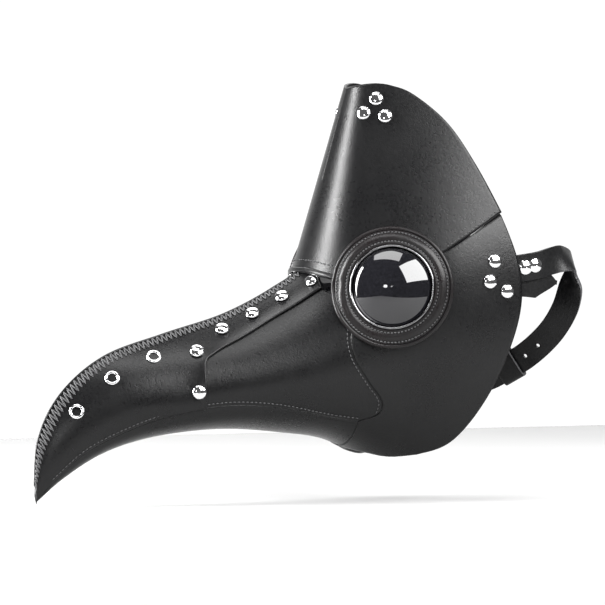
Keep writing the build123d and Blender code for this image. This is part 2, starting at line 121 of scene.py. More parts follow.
def drop(q, ridge):
    """Height down a cross-section, 1 to -1: a cosine mixed with a falling parabola that makes the ridge."""
    return (1 - ridge) * np.cos(np.pi * q) + ridge * (1 - 4 * q + 2 * q**2)


def body_point(place):
    """Middle of the section plus height along its line plus half width times sin(pi q) across."""
    share, q = place[..., 0], place[..., 1]
    row = smooth(BODY_STATIONS, share)
    top, low = row[..., 0:2], row[..., 2:4]
    flat = (top + low) / 2 + (top - low) / 2 * drop(q, row[..., 5])[..., None]
    return np.concatenate([(row[..., 4] * np.sin(np.pi * q))[..., None], flat], axis=-1)


def body_place(side):
    """Share and q of side-view points: bisect for the section line through each, then for its height."""
    side = np.asarray(side, float)
    low_share, high_share = np.zeros(side.shape[:-1]), np.ones(side.shape[:-1])
    for _ in range(40):
        middle = (low_share + high_share) / 2
        row = smooth(BODY_STATIONS, middle)
        line, away = row[..., 2:4] - row[..., 0:2], side - row[..., 0:2]
        behind = line[..., 0] * away[..., 1] - line[..., 1] * away[..., 0] > 0
        low_share, high_share = np.where(behind, middle, low_share), np.where(behind, high_share, middle)
    row = smooth(BODY_STATIONS, low_share)
    centre, half = (row[..., 0:2] + row[..., 2:4]) / 2, (row[..., 0:2] - row[..., 2:4]) / 2
    height = np.sum((side - centre) * half, axis=-1) / np.sum(half * half, axis=-1)
    low_q, high_q = np.zeros_like(height), np.ones_like(height)
    for _ in range(40):
        middle = (low_q + high_q) / 2
        above = drop(middle, row[..., 5]) > height
        low_q, high_q = np.where(above, middle, low_q), np.where(above, high_q, middle)
    return np.stack([low_share, low_q], axis=-1)


def forehead_point(place):
    """Level z and arc length: a nose arc, a long side arc and a rear arc joined tangentially."""
    z, length = place[..., 0], place[..., 1]
    nose = NOSE_RADIUS - NOSE_TAPER * z
    turn_1 = np.clip(length / nose, 0, NOSE_TURN)
    turn_2 = np.clip((length - nose * NOSE_TURN) / SIDE_RADIUS, 0, SIDE_TURN)
    turn_3 = np.maximum(length - nose * NOSE_TURN - SIDE_RADIUS * SIDE_TURN, 0) / REAR_RADIUS
    second, third = NOSE_TURN + turn_2, NOSE_TURN + SIDE_TURN + turn_3
    x = nose * np.sin(turn_1) + SIDE_RADIUS * (np.sin(second) - np.sin(NOSE_TURN)) * (turn_2 > 0)
    y = nose * (1 - np.cos(turn_1)) + SIDE_RADIUS * (np.cos(NOSE_TURN) - np.cos(second)) * (turn_2 > 0)
    x = x + REAR_RADIUS * (np.sin(third) - np.sin(NOSE_TURN + SIDE_TURN)) * (turn_3 > 0)
    y = y + REAR_RADIUS * (np.cos(NOSE_TURN + SIDE_TURN) - np.cos(third)) * (turn_3 > 0)
    return np.stack([x, y + FRONT_Y + FRONT_LEAN * z, z], axis=-1)


def forehead_place(side):
    """Level and arc length of side-view points, by bisecting the length until Y fits."""
    side = np.asarray(side, float)
    low, high = np.zeros(side.shape[:-1]), np.full(side.shape[:-1], 260.0)
    for _ in range(40):
        middle = (low + high) / 2
        ahead = forehead_point(np.stack([side[..., 1], middle], axis=-1))[..., 1] < side[..., 0]
        low, high = np.where(ahead, middle, low), np.where(ahead, high, middle)
    return np.stack([side[..., 1], low], axis=-1)


def outward(surface, place, step=1e-3):
    """Unit normal from the cross product of the two parameter slopes, turned outward."""
    size = np.array([1.0, 1.0]) if surface is body_point else np.array([400.0, 400.0])
    ahead = surface(place + (step * size[0], 0)) - surface(place - (step * size[0], 0))
    down = surface(place + (0, step * size[1])) - surface(place - (0, step * size[1]))
    normal = unit(np.cross(ahead, down))
    point = surface(place)
    if surface is forehead_point:
        inside = np.broadcast_to((0.0, 60.0, 60.0), point.shape)
    else:
        row = smooth(BODY_STATIONS, place[..., 0])
        middle = (row[..., 0:2] + row[..., 2:4]) / 2
        inside = np.concatenate([0 * point[..., :1], middle], axis=-1)
    return normal * np.sign(np.sum(normal * (point - inside), axis=-1, keepdims=True))


def edge_places(finder, rows, count):
    return finder(smooth(rows, np.linspace(0, 1, count)))


def coons(bottom, top, left, right):
    """Coons patch: blend of the two pairs of edges less the blend of the corners."""
    u, v = np.linspace(0, 1, len(bottom))[:, None, None], np.linspace(0, 1, len(left))[None, :, None]
    across = (1 - v) * bottom[:, None] + v * top[:, None]
    along = (1 - u) * left[None] + u * right[None]
    corners = (1 - u) * ((1 - v) * bottom[0] + v * top[0]) + u * ((1 - v) * bottom[-1] + v * top[-1])
    return across + along - corners


# ---- Meshes ----

def grid_faces(rows, columns, wrap=False):
    """Quads between neighbouring rows and columns; wrap joins the last column to the first."""
    i, j = np.meshgrid(np.arange(rows - 1), np.arange(columns if wrap else columns - 1), indexing="ij")
    k = (j + 1) % columns
    corners = [i * columns + j, (i + 1) * columns + j, (i + 1) * columns + k, i * columns + k]
    return np.stack(corners, axis=-1).reshape(-1, 4)


def build(name, points, faces, material, body="root", nodes=()):
    """One mesh object from points in millimetres and quads."""
    mesh = bpy.data.meshes.new(name)
    mesh.from_pydata((points.reshape(-1, 3) * MM).tolist(), [], faces.tolist())
    mesh.validate()
    mesh.shade_smooth()
    mesh.materials.append(material)
    piece = bpy.data.objects.new(name, mesh)
    bpy.context.scene.collection.objects.link(piece)
    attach(piece, body)
    if nodes:
        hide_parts(*nodes)
    return piece


def facing(points, faces, outwards):
    """Turn the quads round where they face against the wanted directions."""
    a, b, c = (points[faces[:, k]] for k in (0, 1, 3))
    wrong = np.sum(np.cross(b - a, c - a) * outwards[faces[:, 0]], axis=-1).sum() < 0
    return faces[:, ::-1] if wrong else faces


def mirror(points, faces):
    return points * (-1, 1, 1), faces[:, ::-1]


def both_sides(name, points, faces, material, slot="shell_leather", node=None, finish=None):
    """The same piece on the wearer's left and, mirrored, on the right."""
    sides = {"left": (points, faces), "right": mirror(points, faces)}
    for side, (at, quads) in sides.items():
        nodes = [f"{side}_{node}"] if node else []
        piece = build(f"{side}_{name}", at, quads, material, nodes=nodes)
        if finish:
            finish(piece)


def thicken(thickness=LEATHER, offset=-1.0):
    """Give a skin its leather thickness."""
    def finish(piece):
        wall = piece.modifiers.new("wall", "SOLIDIFY")
        wall.thickness, wall.offset = thickness * MM, offset
        wall.use_even_offset = False
    return finish


def merged(points, faces):
    """Join points that lie within a hundredth of a millimetre, and drop faces that collapse."""
    keys, first, back = np.unique(np.round(points, 2), axis=0, return_index=True, return_inverse=True)
    faces = back.reshape(-1)[faces]
    whole = (faces[:, 0] != faces[:, 1]) & (faces[:, 2] != faces[:, 3])
    return points[first], faces[whole & (faces[:, 1] != faces[:, 2]) & (faces[:, 3] != faces[:, 0])]


def tube(path, radius, sides=8, closed=False, flat=1.0, up=None):
    """Circle carried along a path on frames made from its tangent and an up direction."""
    path = np.asarray(path, float)
    ahead = np.roll(path, -1, 0) - np.roll(path, 1, 0) if closed else np.gradient(path, axis=0)
    tangent = unit(ahead)
    up = np.broadcast_to(np.array([0.13, 0.21, 0.97]) if up is None else up, path.shape)
    side = unit(np.cross(tangent, up))
    lift = np.cross(side, tangent)
    turn = np.linspace(0, 2 * np.pi, sides, endpoint=False)
    radius = np.broadcast_to(radius, len(path))[:, None, None]
    ring = side[:, None] * np.cos(turn)[:, None] + lift[:, None] * np.sin(turn)[:, None] * flat
    points = path[:, None] + ring * radius
    if closed:
        points = np.concatenate([points, points[:1]])
    faces = grid_faces(len(points), sides, wrap=True)
    if closed:
        faces = faces % (len(path) * sides)
        points = points[:-1]
    return points.reshape(-1, 3), faces


def spindles(starts, ends, lifts, radius):
    """Many small threads: a six-sided spindle with three rings between each start and end."""
    along = (ends - starts)[:, None, None]
    share, size = np.array([0.0, 0.2, 0.5, 0.8, 1.0]), np.array([0.15, 0.85, 1.0, 0.85, 0.15])
    turn = np.linspace(0, 2 * np.pi, 6, endpoint=False)
    side = unit(np.cross(ends - starts, lifts))[:, None, None]
    up = unit(lifts)[:, None, None]
    ring = side * np.cos(turn)[None, None, :, None] + up * np.sin(turn)[None, None, :, None]
    points = starts[:, None, None] + along * share[None, :, None, None]
    points = points + ring * (size * radius)[None, :, None, None]
    faces = grid_faces(5, 6, wrap=True)
    shift = np.arange(len(starts))[:, None, None] * 30
    return points.reshape(-1, 3), (faces[None] + shift).reshape(-1, 4)


def lay_evenly(path, pitch):
    """Points every pitch along a path."""
    steps = np.linalg.norm(np.diff(path, axis=0), axis=1)
    length = np.concatenate([[0], np.cumsum(steps)])
    spots = np.arange(pitch / 2, length[-1], pitch)
    return np.stack([np.interp(spots, length, path[:, k]) for k in range(3)], axis=-1)


# ---- Materials ----

class Flow:
    """A shader socket that takes part in arithmetic; each operation adds a Math node."""

    def __init__(self, shader, socket):
        self.shader, self.socket = shader, socket

    def _math(self, operation, *values):
        return self.shader.node("ShaderNodeMath", {"operation": operation}, dict(enumerate(values)))[0]

    def __add__(self, other):
        return self._math("ADD", self, other)

    def __radd__(self, other):
        return self._math("ADD", other, self)

    def __sub__(self, other):
        return self._math("SUBTRACT", self, other)

    def __rsub__(self, other):
        return self._math("SUBTRACT", other, self)

    def __mul__(self, other):
        return self._math("MULTIPLY", self, other)

    def __rmul__(self, other):
        return self._math("MULTIPLY", other, self)


class Shader:
    """A material with one Principled surface."""

    def __init__(self, name):
        self.material = bpy.data.materials.new(name)
        self.material.use_nodes = True
        self.nodes, self.links = self.material.node_tree.nodes, self.material.node_tree.links
        self.surface = self.nodes["Principled BSDF"]

    def node(self, kind, settings, sockets):
        """Add a node: settings first, then the values or links of its sockets. Returns its outputs."""
        node = self.nodes.new(kind)
        for name, value in settings.items():
            if name == "stops":
                for element, (place, colour) in zip(node.color_ramp.elements, value):
                    element.position, element.color = place, colour
            else:
                setattr(node, name, value)
        for name, value in sockets.items():
            self.feed(node.inputs[name], value)
        return [Flow(self, output) for output in node.outputs]

    def feed(self, socket, value):
        if isinstance(value, Flow):
            self.links.new(value.socket, socket)
        else:
            socket.default_value = value

    def set(self, **values):
        for name, value in values.items():
            self.feed(self.surface.inputs[name.replace("_", " ")], value)

    def place(self):
        return self.node("ShaderNodeTexCoord", {}, {})[3]

    def noise(self, scale, detail=3.0):
        sockets = {"Vector": self.place(), "Scale": scale, "Detail": detail}
        return self.node("ShaderNodeTexNoise", {}, sockets)[0]

    def bump(self, height, depth, strength=1.0):
        return self.node("ShaderNodeBump", {}, {"Height": height, "Distance": depth, "Strength": strength})[0]

    def tint(self, factor, low, high):
        """Colour between two ends as the factor goes from 0.3 to 0.7."""
        stops = [(0.3, (*low, 1)), (0.7, (*high, 1))]
        return self.node("ShaderNodeValToRGB", {"stops": stops}, {"Fac": factor})[0]


def leather(name, dark, light, roughness, grain):
    """Smooth coated leather: fine pebble grain, faint creases, and roughness that wanders a little."""
    shader = Shader(name)
    broad, fine = shader.noise(28.0), shader.noise(520.0, 5.0)
    pebble = shader.node("ShaderNodeTexVoronoi", {}, {"Vector": shader.place(), "Scale": 1300.0})[0]
    crease = shader.noise(110.0, 4.0)
    shader.set(
        Base_Color=shader.tint(broad * 0.6 + fine * 0.4, dark, light),
        Roughness=roughness + (broad - 0.5) * 0.12 + (fine - 0.5) * 0.16,
        Normal=shader.bump(pebble * 0.45 + fine * 0.9 + crease * 0.8, grain),
        Specular_IOR_Level=0.24,
    )
    return shader.material


def thread_material():
    shader = Shader("waxed_thread")
    twist = shader.noise(2600.0)
    shader.set(
        Base_Color=shader.tint(twist, (0.012, 0.012, 0.013), (0.06, 0.06, 0.062)),
        Roughness=0.42 + twist * 0.2,
        Normal=shader.bump(twist, 0.00015),
    )
    return shader.material


def metal(name, low, high, roughness, scratch):
    """Polished plate: tiny scratches and smears in the roughness."""
    shader = Shader(name)
    smear = shader.noise(240.0, 5.0)
    fine = shader.noise(3200.0)
    shader.set(
        Base_Color=shader.tint(smear, low, high),
        Metallic=1.0,
        Roughness=roughness + smear * 0.08,
        Normal=shader.bump(fine, scratch),
    )
    return shader.material


def lens_material():
    """Black glossy plastic with a hard clear coat and faint dust."""
    shader = Shader("smoked_lens")
    dust = shader.noise(900.0, 6.0)
    shader.set(
        Base_Color=shader.tint(dust, (0.002, 0.002, 0.003), (0.008, 0.008, 0.01)),
        Roughness=0.02 + dust * 0.05,
        Specular_IOR_Level=0.25,
        Coat_Weight=1.0,
        Coat_Roughness=0.01,
    )
    return shader.material


SHELL = leather("shell_leather", (0.003, 0.003, 0.0033), (0.006, 0.006, 0.0063), 0.3, 0.00009)
RING = leather("ring_leather", (0.006, 0.004, 0.0043), (0.008, 0.008, 0.0083), 0.3, 0.00011)
STRAP = leather("strap_leather", (0.003, 0.003, 0.0033), (0.006, 0.006, 0.0063), 0.34, 0.0001)
# Cut-edge leather, paler than the strap faces: a painted highlight on the cut edges.
EDGE_HIGHLIGHT = leather("burnished_edge", (0.03, 0.03, 0.032), (0.075, 0.075, 0.078), 0.4, 0.0002)
THREAD = thread_material()
NICKEL = metal("polished_nickel", (0.7, 0.7, 0.71), (0.86, 0.86, 0.87), 0.06, 0.00001)
RIM_METAL = metal("black_rim", (0.16, 0.16, 0.165), (0.3, 0.3, 0.305), 0.12, 0.00001)
LENS = lens_material()


# ---- Shell panels ----

def skin(surface, places, lift=0.0):
    points = surface(places)
    normals = outward(surface, places)
    return points + normals * np.asarray(lift)[..., None], normals


def eye_axes():
    flat = np.array([np.sin(EYE_TURN), -np.cos(EYE_TURN), 0.0]) * np.cos(EYE_TILT)
    normal = flat + (0.0, 0.0, np.sin(EYE_TILT))
    level = unit(np.cross((0.0, 0.0, 1.0), normal))
    return level, np.cross(normal, level), normal


def open_eye(points, faces, radius=27.0):
    """Drop the quads whose middles lie within the eye opening."""
    level, rise, _ = eye_axes()
    middle = points[faces].mean(axis=1)
    middle = middle * np.concatenate([np.sign(middle[:, :1]), np.ones((len(middle), 2))], axis=1)
    away = middle - EYE_CENTRE
    return faces[np.hypot(away @ level, away @ rise) > radius]


def panel(name, node, surface, places, lift=0.0, eyes=True):
    points, normals = skin(surface, places, lift)
    points, normals = points.reshape(-1, 3), normals.reshape(-1, 3)
    faces = facing(points, grid_faces(*places.shape[:2]), normals)
    if eyes:
        faces = open_eye(points, faces)
    both_sides(name, points, faces, SHELL, node=node, finish=thicken())


def beak_front():
    """Grid between the ridge and the lower seam with the strip edge, lifted at its free edge."""
    count = 140
    seam = edge_places(body_place, LOWER_SEAM, 400)
    seam = seam[body_point(seam)[:, 1] < -122.5]
    strip = edge_places(body_place, STRIP_EDGE, 160)[::-1]
    lower = np.concatenate([[[0.0, 0.6]], seam, strip])
    lower = resample(lower, count, body_point)
    ridge = np.stack([np.linspace(0.0, 0.634, count), np.zeros(count)], axis=-1)
    v = np.linspace(0, 1, 44)[None, :, None]
    places = (1 - v) * ridge[:, None] + v * lower[:, None]
    u = np.linspace(0, 1, count)[:, None]
    lift = 1.9 * np.clip((v[..., 0] - 0.55) / 0.45, 0, 1) ** 2 * np.clip((u - 0.35) / 0.1, 0, 1) + 0.15
    panel("beak_front", "beak_front_panel", body_point, places, lift, eyes=False)


def beak_tip():
    """Rings from the end of the beak drawn in to a point."""
    q = np.linspace(0, 1, 15)
    half = body_point(np.stack([0 * q, q], axis=-1))
    ring = np.concatenate([half, half[-2:0:-1] * (-1, 1, 1)])
    end = np.array([0.0, -231.0, -141.5])
    size = np.array([1.0, 0.85, 0.62, 0.36, 0.12, 0.01])
    points = end + (ring - end)[None] * size[:, None, None]
    points = points.reshape(-1, 3)
    faces = facing(points, grid_faces(6, len(ring), wrap=True), points - (0.0, -230.5, -137.0))
    build("beak_tip", points, faces, SHELL)


def resample(places, count, surface):
    """Places spaced evenly by true length along their curve on the surface."""
    points = surface(places)
    length = np.concatenate([[0], np.cumsum(np.linalg.norm(np.diff(points, axis=0), axis=1))])
    spots = np.linspace(0, length[-1], count)
    return np.stack([np.interp(spots, length, places[:, k]) for k in range(2)], axis=-1)


def beak_side():
    """Coons patch from the strip edge to the rear seam; its far corner lies under the eye ring."""
    strip = edge_places(body_place, STRIP_EDGE, 200)
    split = 60
    corner = edge_places(body_place, [(-37.5, -1), (-30, -8), (-24, -22)], 40)
    top_edge = resample(np.concatenate([strip[:150][::-1], corner[1:]]), 90, body_point)
    left_edge = resample(strip[149:][::-1], split, body_point)
    seam = edge_places(body_place, LOWER_SEAM, 400)
    seam = seam[body_point(seam)[:, 1] > -122.0]
    lower_edge = resample(np.concatenate([left_edge[:1], seam]), 90, body_point)
    right_edge = resample(edge_places(body_place, REAR_SEAM, 120), split, body_point)
    right_edge[0], right_edge[-1] = lower_edge[-1], top_edge[-1]
    left_edge[-1] = top_edge[0]
    places = coons(lower_edge, top_edge, left_edge, right_edge)
    panel("beak_side", "beak_side_panel", body_point, places, 0.0, eyes=True)


def cheek():
    """Main patch behind the rear seam joined to the strip that runs forward under the beak."""
    jaw = np.concatenate([[[0.0, 0.6]], edge_places(body_place, LOWER_SEAM, 109)])
    under = np.stack([jaw[:, 0], np.ones(110)], axis=-1)
    v = np.linspace(0, 1, 16)[None, :, None]
    strip = (1 - v) * jaw[:, None] + v * under[:, None]
    rows = 60
    keel = under[-1]
    front = [np.linspace(keel, jaw[-1], 12)[:-1], edge_places(body_place, REAR_SEAM, 90)]
    front = np.concatenate(front + [edge_places(body_place, [(-24, -22), (-10, -8), (20, 15)], 60)[1:]])
    front_edge = resample(front, rows, body_point)
    rear_rows = [(28, -112), (47, -103), (66, -73), (81, -34), (86.5, -6), (84, 18), (75, 47)]
    rear_edge = resample(edge_places(body_place, rear_rows, 200), rows, body_point)
    bottom = np.concatenate([keel[None], edge_places(body_place, JAW_RIM[2::-1], 60)])
    bottom_edge = resample(bottom, 50, body_point)
    top_edge = resample(edge_places(body_place, TEMPLE_SEAM, 60), 50, body_point)
    bottom_edge[-1], top_edge[0] = rear_edge[0], front_edge[-1]
    top_edge[-1] = rear_edge[-1]
    main = coons(bottom_edge, top_edge, front_edge, rear_edge)
    parts, quads, start = [], [], 0
    for places, lift in ((strip, 0.0), (main, 0.35)):
        points, normals = skin(body_point, places, lift)
        points, normals = points.reshape(-1, 3), normals.reshape(-1, 3)
        quads.append(facing(points, grid_faces(*places.shape[:2]), normals) + start)
        parts.append(points)
        start += len(points)
    points, faces = merged(np.concatenate(parts), np.concatenate(quads))
    both_sides("cheek", points, open_eye(points, faces), SHELL, node="cheek_panel", finish=thicken())


def forehead():
    """Rows from the centre line round to the hem and rim, both sides in one sheet."""
    rows = 70
    hem = [(75, 49), (54, 35), (32, 21), (10, 9), (-20, 5), (-37, 7.5)]
    rim_rows = [(75, 49), (61, 81), (46, 108), (27, 127), (14, 133), (6, 134.3)]
    v = np.linspace(0, 1, rows)
    rim = resample(edge_places(forehead_place, rim_rows, 300), rows, forehead_point)
    centre_z = 12.0 + (131.5 - 12.0) * v
    centre = np.stack([centre_z, np.zeros(rows)], axis=-1)
    low_edge = resample(np.concatenate([edge_places(forehead_place, hem[::-1], 200)]), 80, forehead_point)
    low_edge = resample(np.concatenate([[[12.0, 0.0]], [[11.5, 12.0]], low_edge[4:]]), 80, forehead_point)
    low_edge[-1] = rim[0]
    high_edge = np.repeat(rim[-1:], 80, axis=0)
    high_edge[:, 1] = np.linspace(0, rim[-1, 1], 80)
    high_edge[:, 0] = 131.5 + (rim[-1, 0] - 131.5) * np.sin(np.linspace(0, np.pi / 2, 80)) ** 1.5
    places = coons(low_edge, high_edge, centre, rim)
    points, normals = skin(forehead_point, places, 0.9)
    points, normals = points.reshape(-1, 3), normals.reshape(-1, 3)
    faces = facing(points, grid_faces(80, rows), normals)
    other, other_faces = mirror(points, faces)
    faces = np.concatenate([faces, other_faces + len(points)])
    points, faces = merged(np.concatenate([points, other]), faces)
    piece = build("forehead", points, open_eye(points, faces), SHELL, nodes=["forehead_panel"])
    thicken()(piece)


# ---- Eyes ----

def ring_place(radius, turn, height, drape):
    """Point at a radius and turn about the eye, raised by height, and let down towards the shell."""
    level, rise, normal = eye_axes()
    flat = EYE_CENTRE + radius[..., None] * (np.cos(turn)[..., None] * level + np.sin(turn)[..., None] * rise)
    side = flat[..., 1:3]
    on_body = body_point(body_place(side))[..., 0]
    on_forehead = forehead_point(forehead_place(side))[..., 0]
    shell = np.where(side[..., 1] > 5, np.maximum(on_body, on_forehead), on_body)
    gap = np.maximum((flat[..., 0] - shell) * normal[0], -1.0)
    return flat + normal * (height - drape * np.minimum(gap, 9.0))[..., None]


def revolved(profile, turns=160):
    """Rings through a profile of radius, height and drape about the eye."""
    profile = np.asarray(profile, float)
    turn = np.linspace(0, 2 * np.pi, turns, endpoint=False)
    radius, turn = np.meshgrid(profile[:, 0], turn, indexing="ij")
    height, drape = profile[:, 1:2] + 0 * radius, profile[:, 2:3] + 0 * radius
    points = ring_place(radius, turn, height, drape)
    return points.reshape(-1, 3), grid_faces(len(profile), turns, wrap=True)


def eyes():
    flange = [(28.0, -2.5, 0), (28.0, 3.4, 0), (28.5, 4.0, 0), (29.7, 4.2, 0.02), (30.1, 3.7, 0.03),
              (30.4, 3.5, 0.04), (30.8, 3.7, 0.05), (31.4, 4.2, 0.08), (34, 3.9, 0.2),
              (35.8, 3.6, 0.32), (36.3, 3.0, 0.35), (36.6, 2.8, 0.36), (36.9, 3.0, 0.38),
              (37.4, 3.3, 0.42), (38.0, 2.7, 0.48), (38.3, 1.6, 0.6), (38.5, -0.8, 1.0)]
    points, faces = revolved(flange)
    outwards = np.tile(eye_axes()[2], (len(points), 1))
    both_sides("eye_flange", points, facing(points, faces, outwards), RING, "eye_leather", "eye_flange")
    turn = np.linspace(0, 2 * np.pi, 14, endpoint=False)
    roll = [(39.2 + 1.5 * np.cos(t), 1.9 + 1.7 * np.sin(t), 0.55 - 0.35 * min(np.sin(t), 0)) for t in turn]
    points, faces = revolved(roll + roll[:1])
    both_sides("eye_piping", *outside_in(points, faces, 39.2), RING, "eye_leather", "eye_piping")
    rim = [(28.0, -1.0, 0), (28.0, 4.7, 0), (27.8, 5.1, 0), (27.4, 5.3, 0),
           (26.9, 5.2, 0), (26.6, 4.8, 0), (26.5, 1.0, 0)]
    points, faces = revolved(rim)
    outwards = np.tile(eye_axes()[2], (len(points), 1))
    both_sides("eye_rim", points, facing(points, faces, outwards), RIM_METAL, "bezel_metal", "lens_bezel")
    theta = np.linspace(0, 1, 26)
    sphere = 42.0
    edge, foot = 26.5, 2.4 - np.sqrt(42.0**2 - 26.5**2)
    dome = [(edge * t, foot + np.sqrt(sphere**2 - (edge * t) ** 2), 0) for t in theta[::-1]]
    dome[-1] = (0.02, dome[-1][1], 0)
    points, faces = revolved(dome)
    outwards = np.tile(eye_axes()[2], (len(points), 1))
    both_sides("eye_lens", points, facing(points, faces, outwards), LENS, "lens", "lens", thicken(1.2))
    rings = (("inner", 30.4, 4.0, 0.04, 84), ("outer", 36.6, 3.35, 0.36, 100))
    for name, radius, height, drape, count in rings:
        turn = np.linspace(0, 2 * np.pi, count, endpoint=False)
        step = 2 * np.pi / count * 0.33
        level = [np.full(count, value) for value in (radius, height, drape)]
        ends = [ring_place(level[0], turn + sign * step, *level[1:]) for sign in (-1, 1)]
        lifts = np.tile(eye_axes()[2], (count, 1))
        both_sides(f"{name}_ring_stitches", *spindles(*ends, lifts, 0.55), THREAD, "eye_leather")


def outside_in(points, faces, radius):
    """Turn a rolled ring's quads outward from the circle at its middle."""
    normal = eye_axes()[2]
    away = points - EYE_CENTRE
    flat = unit(away - (away @ normal)[:, None] * normal)
    outwards = points - (EYE_CENTRE + flat * radius)
    return points, facing(points, faces, outwards)


# ---- Seams ----

def stitch_line(name, surface, finder, rows, pitch=2.9, lift=0.35, radius=0.38, inset=(0, 0)):
    """Running stitches laid on the surface along side-view rows."""
    path = skin(surface, edge_places(finder, np.array(rows, float) + inset, 600), lift)[0]
    spots = lay_evenly(path, pitch)
    ahead = unit(np.gradient(spots, axis=0)) * pitch * 0.34
    lifts = np.tile((1.0, -0.2, 0.1), (len(spots), 1))
    both_sides(name, *spindles(spots - ahead, spots + ahead, lifts, radius), THREAD)


def ridge_seam():
    """Zigzag thread over the beak ridge: slanting stitches from the ridge down each side and back."""
    share = np.linspace(0.02, 0.632, 900)
    ridge = body_point(np.stack([share, 0 * share], axis=-1))
    length = np.concatenate([[0], np.cumsum(np.linalg.norm(np.diff(ridge, axis=0), axis=1))])
    count = 76
    spots = np.interp(np.linspace(0, length[-1], 2 * count), length, share)
    width = np.where(np.arange(2 * count) % 2, 1.0, 0.0)
    half = np.interp(spots, BODY_SHARES, BODY_STATIONS[:, 4])
    q = width * 5.6 / (np.pi * half)
    places = np.stack([spots, np.clip(q, 0.0, 0.2)], axis=-1)
    points, normals = skin(body_point, places, 0.55)
    starts, ends = points[:-1], points[1:]
    both_sides("ridge_zigzag", *spindles(starts, ends, normals[:-1], 0.62), THREAD)
    centre = skin(body_point, np.stack([share, 0 * share], axis=-1), 0.0)[0][::6] + (0, 0, 0.1)
    points, faces = tube(centre, 0.9, 8)
    build("ridge_cord", points, faces, SHELL)


BODY_SHARES = np.linspace(0, 1, len(BODY_STATIONS))


def front_hem():
    """Rolled lower edge of the forehead over the beak root, from one eye ring to the other."""
    length = np.linspace(0, 44, 60)
    sag = np.where(length < 10, 0, (length - 10) / 34.0)
    places = np.stack([10.5 - 6.0 * sag**1.2, length], axis=-1)
    points, _ = skin(forehead_point, places, 1.0)
    path = np.concatenate([points[::-1] * (-1, 1, 1), points[1:]])
    points, faces = tube(path, 2.0, 12, up=np.array([0.0, -0.3, 1.0]))
    build("forehead_hem_roll", points, faces, SHELL)
    stitch = np.stack([17.0 - 5.5 * sag**1.2, length], axis=-1)
    path, _ = skin(forehead_point, stitch, 1.2)
    path = np.concatenate([path[::-1] * (-1, 1, 1), path[1:]])
    spots = lay_evenly(path, 3.0)
    ahead = unit(np.gradient(spots, axis=0)) * 1.05
    points, faces = spindles(spots - ahead, spots + ahead, np.tile((0.0, -1.0, 0.2), (len(spots), 1)), 0.4)
    build("forehead_hem_stitches", points, faces, THREAD)


def seams():
    stitch_line("lower_seam_stitches", body_point, body_place, LOWER_SEAM, inset=(0, 2.2))
    stitch_line("rear_seam_stitches", body_point, body_place, REAR_SEAM[1:], inset=(-2.4, 0))
    temple = [(36, 26), (54, 37.5), (73.5, 51)]
    stitch_line("temple_seam_stitches", forehead_point, forehead_place, temple, lift=1.3)
    ridge_seam()
    front_hem()


# ---- Fasteners ----

def on_shell(side):
    """Point and normal on the outer of the two surfaces at side-view spots."""
    side = np.asarray(side, float)
    if side[0, 1] > 60:
        return skin(forehead_point, forehead_place(side), 0.9)
    return skin(body_point, body_place(side), 0.2)


def spun(centres, normals, profile, turns=28):
    """Profiles of radius and height spun about each centre and normal."""
    profile = np.asarray(profile, float)
    turn = np.linspace(0, 2 * np.pi, turns, endpoint=False)
    side = unit(np.cross(normals, (0.05, 0.1, 1.0)))
    lift = np.cross(normals, side)
    across, up = np.cos(turn)[None, None, :, None], np.sin(turn)[None, None, :, None]
    ring = side[:, None, None] * across + lift[:, None, None] * up
    radius, height = profile[None, :, None, None, 0], profile[None, :, None, None, 1]
    points = centres[:, None, None] + ring * radius + normals[:, None, None] * height
    faces = grid_faces(len(profile), turns, wrap=True)
    shift = np.arange(len(centres))[:, None, None] * len(profile) * turns
    points = points.reshape(-1, 3)
    faces = (faces[None] + shift).reshape(-1, 4)
    return points, facing(points, faces, np.repeat(normals, len(profile) * turns, axis=0))


def cap_profile(radius=4.7, height=2.5):
    """A low dome with a rounded lip."""
    t = np.linspace(0, 1, 9)
    dome = [(max(radius * np.sin(a), 0.02), 0.5 + (height - 0.5) * np.cos(a)) for a in t * np.pi / 2]
    return dome[::1] + [(radius + 0.1, 0.3), (radius, -0.1), (radius * 0.6, -0.3)]


def back_profile():
    return [(0.02, 1.3), (1.2, 1.25), (3.2, 0.9), (3.6, 0.5), (3.6, 0.0), (1.6, -0.4)]


def fasteners():
    groups = {"beak_rivets": (BEAK_RIVETS, 0.9), "forehead_rivets": (FOREHEAD_RIVETS, 0.2)}
    groups["temple_rivets"] = (TEMPLE_RIVETS, 0.2)
    for name, (rows, lift) in groups.items():
        centres, normals = on_shell(rows)
        caps = spun(centres + normals * lift, normals, cap_profile())
        backs = spun(centres - normals * 3.2, -normals, back_profile())
        points = np.concatenate([caps[0], backs[0]])
        faces = np.concatenate([caps[1], backs[1] + len(caps[0])])
        both_sides(name, points, faces, NICKEL, "nickel_fasteners", name)
    centres, normals = on_shell(BEAK_EYELETS)
    t = np.linspace(0, np.pi, 11)
    rim = [(4.05 - 1.05 * np.cos(a), 0.3 + 1.05 * np.sin(a)) for a in t]
    ring = [(3.0, -3.4)] + rim + [(5.15, 0.0), (5.0, -0.3)]
    points, faces = spun(centres, normals, ring)
    both_sides("beak_eyelets", points, faces, NICKEL, "nickel_fasteners", "beak_eyelets")
    # Dark disc deep in each eyelet: painted shade inside the hole.
    dark = [(0.02, -3.3), (2.0, -3.35), (3.0, -3.4)]
    both_sides("eyelet_mesh", *spun(centres, normals, dark), THREAD, "shell_leather")


# ---- Straps ----

